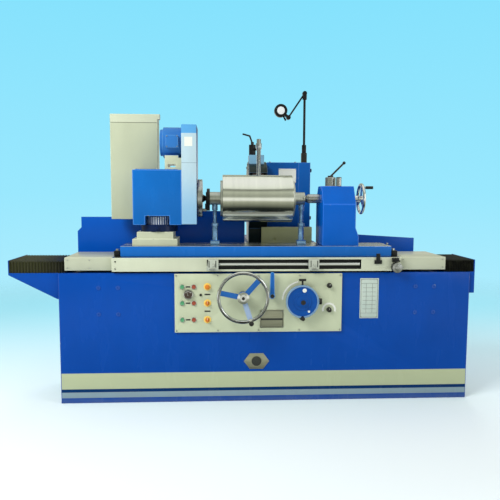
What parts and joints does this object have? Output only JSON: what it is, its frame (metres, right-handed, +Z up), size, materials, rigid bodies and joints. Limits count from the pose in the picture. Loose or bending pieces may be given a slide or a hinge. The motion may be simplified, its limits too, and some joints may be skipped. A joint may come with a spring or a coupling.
{
  "type": "cylindrical grinder",
  "caption": "Cylindrical grinding machine with a sliding swivel table, work head, tailstock, roll between centres and a wheelhead behind.",
  "frame": {"origin": "centre of the bed's footprint rectangle, on the floor", "axes": "+X along the work axis from the work head to the tailstock, +Y from the operator to the wheelhead, +Z up"},
  "size_m": [2.402, 1.401, 1.6813],
  "materials": {
    "blue_paint": "hand painted enamel, semi gloss",
    "cream_paint": "hand painted enamel, semi gloss",
    "pale_paint": "pale blue enamel",
    "olive_paint": "dull olive enamel",
    "black_paint": "black enamel",
    "ground_iron": "ground and oiled",
    "steel": "turned and ground",
    "chrome": "polished, slightly worn",
    "plate_metal": "satin",
    "bellows_cloth": "coated cloth",
    "abrasive": "rough, sintered grain",
    "black_plastic": "moulded",
    "green_plastic": "moulded",
    "red_plastic": "moulded",
    "orange_plastic": "moulded"
  },
  "bodies": {
    "bed": {"bed_casting": "blue_paint", "ways": "ground_iron", "bellows_brackets": "blue_paint", "bellows_left": "bellows_cloth", "bellows_right": "bellows_cloth", "splash_guards": "blue_paint", "control_panel": "cream_paint", "screws": "steel", "plates": "plate_metal", "instruments": "black_plastic", "table_cylinder": "steel"},
    "lower_table": {"lower_table": "cream_paint", "table_covers": "cream_paint", "table_fittings": "black_paint", "piston_rod": "chrome"},
    "upper_table": {"upper_table": "blue_paint", "head_base": "cream_paint", "head_body": "blue_paint", "drive_cabinet": "cream_paint", "head_belt_cover": "pale_paint", "head_motor": "blue_paint", "head_centre": "steel", "steadies": "steel"},
    "work_spindle": {"face_plate": "ground_iron", "roll": "steel"},
    "motor_pulley": {"motor_pulley": "steel"},
    "tailstock": {"tailstock_body": "blue_paint"},
    "quill": {"quill": "steel"},
    "tail_wheel": {"tail_wheel": "chrome"},
    "clamp_lever": {"clamp_lever": "black_paint"},
    "dog_left": {"dog_left": "steel"},
    "dog_right": {"dog_right": "steel"},
    "taper_knob": {"taper_knob": "chrome"},
    "wheelhead": {"wheel_slide": "blue_paint", "swivel_base": "olive_paint", "spindle_housing": "blue_paint", "belt_case": "blue_paint", "wheel_motor": "blue_paint", "wheel_guard": "black_paint", "coolant_pipe": "pale_paint"},
    "wheel_spindle": {"wheel_spindle": "steel", "grinding_wheel": "abrasive"},
    "wheel_motor_pulley": {"wheel_motor_pulley": "steel"},
    "valve_lever": {"valve_lever": "black_paint"},
    "lamp_post": {"lamp_post": "black_paint"},
    "lamp_arm": {"lamp_arm": "black_paint"},
    "lamp_head": {"lamp_head": "black_paint"},
    "table_handwheel": {"table_handwheel": "chrome"},
    "infeed_wheel": {"infeed_wheel": "blue_paint"},
    "reversing_lever": {"reversing_lever": "blue_paint"},
    "selector_upper": {"selector_upper": "orange_plastic"},
    "selector_lower": {"selector_lower": "orange_plastic"},
    "speed_knob": {"speed_knob": "black_plastic"},
    "dwell_knob": {"dwell_knob": "black_plastic"},
    "start_button_top": {"start_button_top": "green_plastic"},
    "start_button_middle": {"start_button_middle": "green_plastic"},
    "start_button_bottom": {"start_button_bottom": "green_plastic"},
    "stop_button_top": {"stop_button_top": "red_plastic"},
    "stop_button_middle": {"stop_button_middle": "red_plastic"},
    "stop_button_bottom": {"stop_button_bottom": "red_plastic"}
  },
  "joints": [
    {"name": "table_handwheel_turn", "type": "hinge", "parent": "bed", "child": "table_handwheel", "pos_m": [-0.131, -0.62, 0.561], "axis": [0, 1, 0], "range_deg": [-2406.5, 1088.7]},
    {"name": "table_slide", "type": "slide", "parent": "bed", "child": "lower_table", "axis": [1, 0, 0], "range_m": [-0.21, 0.095], "deforming": ["bellows_left", "bellows_right"]},
    {"name": "taper_knob_turn", "type": "hinge", "parent": "lower_table", "child": "taper_knob", "pos_m": [0.655, -0.62, 0.705], "axis": [0, 1, 0], "range_deg": [-720.1, 720.1]},
    {"name": "table_swivel", "type": "hinge", "parent": "lower_table", "child": "upper_table", "pos_m": [-0.05, -0.445, 0.754], "axis": [0, 0, 1], "range_deg": [-2.5, 2.5]},
    {"name": "work_spin", "type": "hinge", "parent": "upper_table", "child": "work_spindle", "pos_m": [-0.338, -0.445, 1.052], "axis": [1, 0, 0], "continuous": true},
    {"name": "motor_pulley_spin", "type": "hinge", "parent": "upper_table", "child": "motor_pulley", "pos_m": [-0.404, -0.445, 1.342], "axis": [1, 0, 0], "continuous": true},
    {"name": "tailstock_slide", "type": "slide", "parent": "upper_table", "child": "tailstock", "axis": [1, 0, 0], "range_m": [0, 0.08]},
    {"name": "tail_wheel_turn", "type": "hinge", "parent": "tailstock", "child": "tail_wheel", "pos_m": [0.46478, -0.445, 1.052], "axis": [1, 0, 0], "range_deg": [0, 2160]},
    {"name": "quill_slide", "type": "slide", "parent": "tailstock", "child": "quill", "axis": [1, 0, 0], "range_m": [0, 0.03001]},
    {"name": "clamp_lever_turn", "type": "hinge", "parent": "tailstock", "child": "clamp_lever", "pos_m": [0.34878, -0.445, 1.167], "axis": [0, 0, 1], "range_deg": [-60, 60]},
    {"name": "dog_left_slide", "type": "slide", "parent": "lower_table", "child": "dog_left", "axis": [1, 0, 0], "range_m": [0, 0.2]},
    {"name": "dog_right_slide", "type": "slide", "parent": "lower_table", "child": "dog_right", "axis": [1, 0, 0], "range_m": [-0.2, 0.2]},
    {"name": "infeed_wheel_turn", "type": "hinge", "parent": "bed", "child": "infeed_wheel", "pos_m": [0.172, -0.62, 0.533], "axis": [0, 1, 0], "range_deg": [-4297.4, 2864.9]},
    {"name": "wheel_slide_feed", "type": "slide", "parent": "bed", "child": "wheelhead", "axis": [0, -1, 0], "range_m": [-0.06, 0.04]},
    {"name": "grinding_spin", "type": "hinge", "parent": "wheelhead", "child": "wheel_spindle", "pos_m": [-0.024, -0.06, 1.052], "axis": [1, 0, 0], "continuous": true},
    {"name": "wheel_motor_spin", "type": "hinge", "parent": "wheelhead", "child": "wheel_motor_pulley", "pos_m": [0.2535, 0.35, 1.021], "axis": [1, 0, 0], "continuous": true},
    {"name": "valve_lever_turn", "type": "hinge", "parent": "wheelhead", "child": "valve_lever", "pos_m": [-0.052, -0.09, 1.303], "axis": [0, 0, 1], "range_deg": [0, 90]},
    {"name": "lamp_post_turn", "type": "hinge", "parent": "wheelhead", "child": "lamp_post", "pos_m": [0.257, -0.08, 1.3213], "axis": [0, 0, 1], "range_deg": [-90, 90]},
    {"name": "lamp_elbow", "type": "hinge", "parent": "lamp_post", "child": "lamp_arm", "pos_m": [0.257, -0.08, 1.6683], "axis": [0, 1, 0], "range_deg": [-12, 45]},
    {"name": "lamp_head_tilt", "type": "hinge", "parent": "lamp_arm", "child": "lamp_head", "pos_m": [0.16194, -0.08, 1.52736], "axis": [0, 1, 0], "range_deg": [-50, 25]},
    {"name": "reversing_lever_turn", "type": "hinge", "parent": "bed", "child": "reversing_lever", "pos_m": [0.019, -0.62, 0.56], "axis": [0, 1, 0], "range_deg": [-20, 20]},
    {"name": "selector_upper_turn", "type": "hinge", "parent": "bed", "child": "selector_upper", "pos_m": [-0.31, -0.62, 0.521], "axis": [0, 1, 0], "range_deg": [-45, 45]},
    {"name": "selector_lower_turn", "type": "hinge", "parent": "bed", "child": "selector_lower", "pos_m": [-0.31, -0.62, 0.435], "axis": [0, 1, 0], "range_deg": [-45, 45]},
    {"name": "speed_knob_turn", "type": "hinge", "parent": "bed", "child": "speed_knob", "pos_m": [0.316, -0.62, 0.609], "axis": [0, 1, 0], "range_deg": [-135, 135]},
    {"name": "dwell_knob_turn", "type": "hinge", "parent": "bed", "child": "dwell_knob", "pos_m": [0.316, -0.62, 0.483], "axis": [0, 1, 0], "range_deg": [-135, 135]},
    {"name": "start_button_top_press", "type": "slide", "parent": "bed", "child": "start_button_top", "axis": [0, 1, 0], "range_m": [0, 0.004], "stiffness_N_per_m": 400},
    {"name": "start_button_middle_press", "type": "slide", "parent": "bed", "child": "start_button_middle", "axis": [0, 1, 0], "range_m": [0, 0.004], "stiffness_N_per_m": 400},
    {"name": "start_button_bottom_press", "type": "slide", "parent": "bed", "child": "start_button_bottom", "axis": [0, 1, 0], "range_m": [0, 0.004], "stiffness_N_per_m": 400},
    {"name": "stop_button_top_press", "type": "slide", "parent": "bed", "child": "stop_button_top", "axis": [0, 1, 0], "range_m": [0, 0.004], "stiffness_N_per_m": 400},
    {"name": "stop_button_middle_press", "type": "slide", "parent": "bed", "child": "stop_button_middle", "axis": [0, 1, 0], "range_m": [0, 0.004], "stiffness_N_per_m": 400},
    {"name": "stop_button_bottom_press", "type": "slide", "parent": "bed", "child": "stop_button_bottom", "axis": [0, 1, 0], "range_m": [0, 0.004], "stiffness_N_per_m": 400}
  ],
  "couplings": [
    {"joint": "table_handwheel_turn", "follows": "table_slide", "rad_per_m": 200},
    {"joint": "infeed_wheel_turn", "follows": "wheel_slide_feed", "rad_per_m": 1250},
    {"joint": "quill_slide", "follows": "tail_wheel_turn", "m_per_rad": 0.000796},
    {"joint": "taper_knob_turn", "follows": "table_swivel", "ratio": 288},
    {"joint": "motor_pulley_spin", "follows": "work_spin", "ratio": 2},
    {"joint": "wheel_motor_spin", "follows": "grinding_spin", "ratio": 0.80882}
  ]
}
